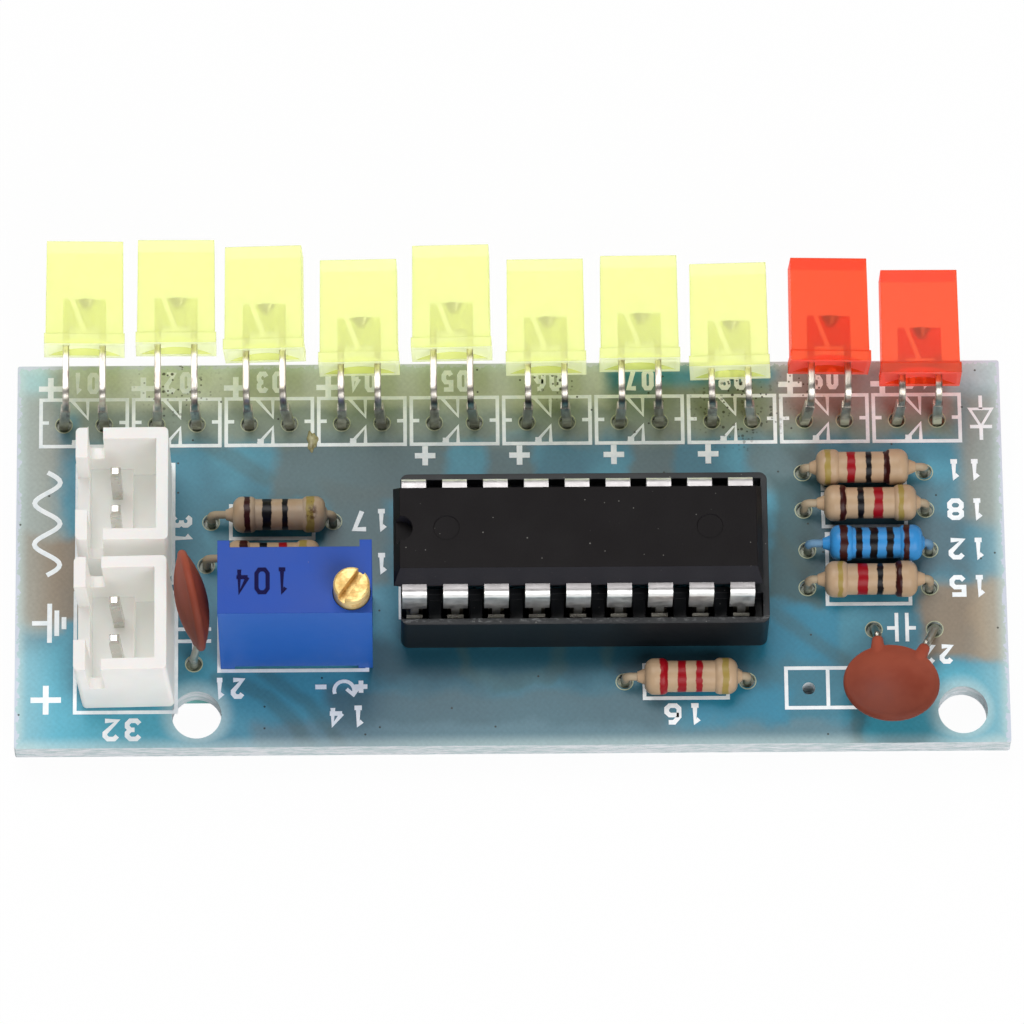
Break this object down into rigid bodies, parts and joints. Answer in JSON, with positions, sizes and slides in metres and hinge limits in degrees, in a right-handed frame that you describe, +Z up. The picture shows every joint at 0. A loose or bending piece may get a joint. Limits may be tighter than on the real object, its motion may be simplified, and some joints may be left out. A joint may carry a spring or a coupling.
{
  "type": "led volume meter circuit board",
  "caption": "Assembled level meter board: a row of bent-over rectangular LEDs along one edge, socketed driver chip, two plug headers, trimmer, resistors and disc capacitors on a drilled board.",
  "frame": {"origin": "middle of the whole outline, at the trimmed lead tips under the board, which it rests on", "axes": "+X along the lamp row from the headers towards the capacitor end, +Y towards the lamp tips, +Z up out of the component side"},
  "size_m": [0.0622, 0.032, 0.0144],
  "materials": {
    "board": "glossy resist over translucent glass fibre",
    "solder": "bright, slightly dull at the edges",
    "socket_black": "satin moulding",
    "contact_tin": "tinned spring strip",
    "package_black": "matt moulding compound",
    "lead_tin": "bright tin",
    "header_white": "off-white, slightly translucent nylon",
    "pin_tin": "bright tin",
    "trimmer_blue": "satin blue moulding",
    "screw_brass": "turned brass",
    "lens_green": "translucent tinted epoxy, unlit",
    "lens_red": "translucent tinted epoxy, unlit",
    "lamp_lead": "tinned wire, stained near the board",
    "resistor_tan": "glossy beige coating",
    "resistor_blue": "glossy blue coating",
    "disc_brown": "matt red-brown dip coating"
  },
  "bodies": {
    "board": {"circuit_board": "board", "solder_joints": "solder", "ic_socket": "socket_black", "socket_contacts": "contact_tin", "ic_package": "package_black", "ic_leads": "lead_tin", "input_header": "header_white", "input_pins": "pin_tin", "power_header": "header_white", "power_pins": "pin_tin", "trimmer_housing": "trimmer_blue", "trimmer_pins": "pin_tin", "led_lens_1": "lens_green", "led_lens_2": "lens_green", "led_lens_3": "lens_green", "led_lens_4": "lens_green", "led_lens_5": "lens_green", "led_lens_6": "lens_green", "led_lens_7": "lens_green", "led_lens_8": "lens_green", "led_lens_9": "lens_red", "led_lens_10": "lens_red", "led_leads_1": "lamp_lead", "led_leads_2": "lamp_lead", "led_leads_3": "lamp_lead", "led_leads_4": "lamp_lead", "led_leads_5": "lamp_lead", "led_leads_6": "lamp_lead", "led_leads_7": "lamp_lead", "led_leads_8": "lamp_lead", "led_leads_9": "lamp_lead", "led_leads_10": "lamp_lead", "resistor_body_1": "resistor_tan", "resistor_body_2": "resistor_blue", "resistor_body_3": "resistor_tan", "resistor_body_5": "resistor_tan", "resistor_body_6": "resistor_tan", "resistor_body_7": "resistor_tan", "resistor_body_8": "resistor_tan", "resistor_leads_1": "lamp_lead", "resistor_leads_2": "lamp_lead", "resistor_leads_3": "lamp_lead", "resistor_leads_5": "lamp_lead", "resistor_leads_6": "lamp_lead", "resistor_leads_7": "lamp_lead", "resistor_leads_8": "lamp_lead", "capacitor_disc_1": "disc_brown", "capacitor_disc_2": "disc_brown", "capacitor_leads_1": "lamp_lead", "capacitor_leads_2": "lamp_lead"},
    "adjuster": {"trimmer_screw": "screw_brass"}
  },
  "joints": [
    {"name": "trimmer_turn", "type": "hinge", "parent": "board", "child": "adjuster", "pos_m": [-0.00995, -0.00945, 0.0079], "axis": [0, 0, 1], "continuous": true}
  ]
}
